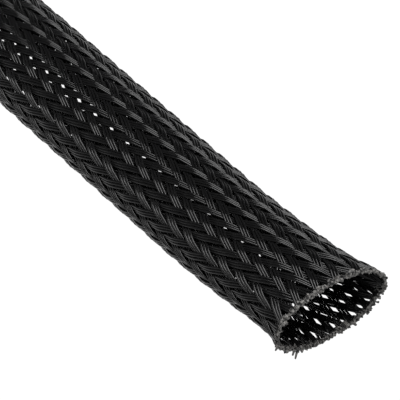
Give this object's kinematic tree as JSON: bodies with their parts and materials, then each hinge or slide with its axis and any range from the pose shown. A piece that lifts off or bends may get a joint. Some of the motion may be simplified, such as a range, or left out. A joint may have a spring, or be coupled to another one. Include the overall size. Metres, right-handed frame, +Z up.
{
  "type": "braided cable sleeve",
  "caption": "Expandable braided cable sleeve of black monofilament, oval as it lies, with a fused rim at each cut end and one end opened wide.",
  "frame": {"origin": "on the resting underside, below the middle of the sleeve's length", "axes": "+X along the sleeve to its opened mouth, +Y across it, +Z up"},
  "size_m": [0.3048, 0.0146, 0.0081],
  "materials": {
    "polyester_braid": "satin extruded monofilament, braided"
  },
  "bodies": {
    "root": {"braided_sleeve": "polyester_braid"}
  },
  "joints": []
}
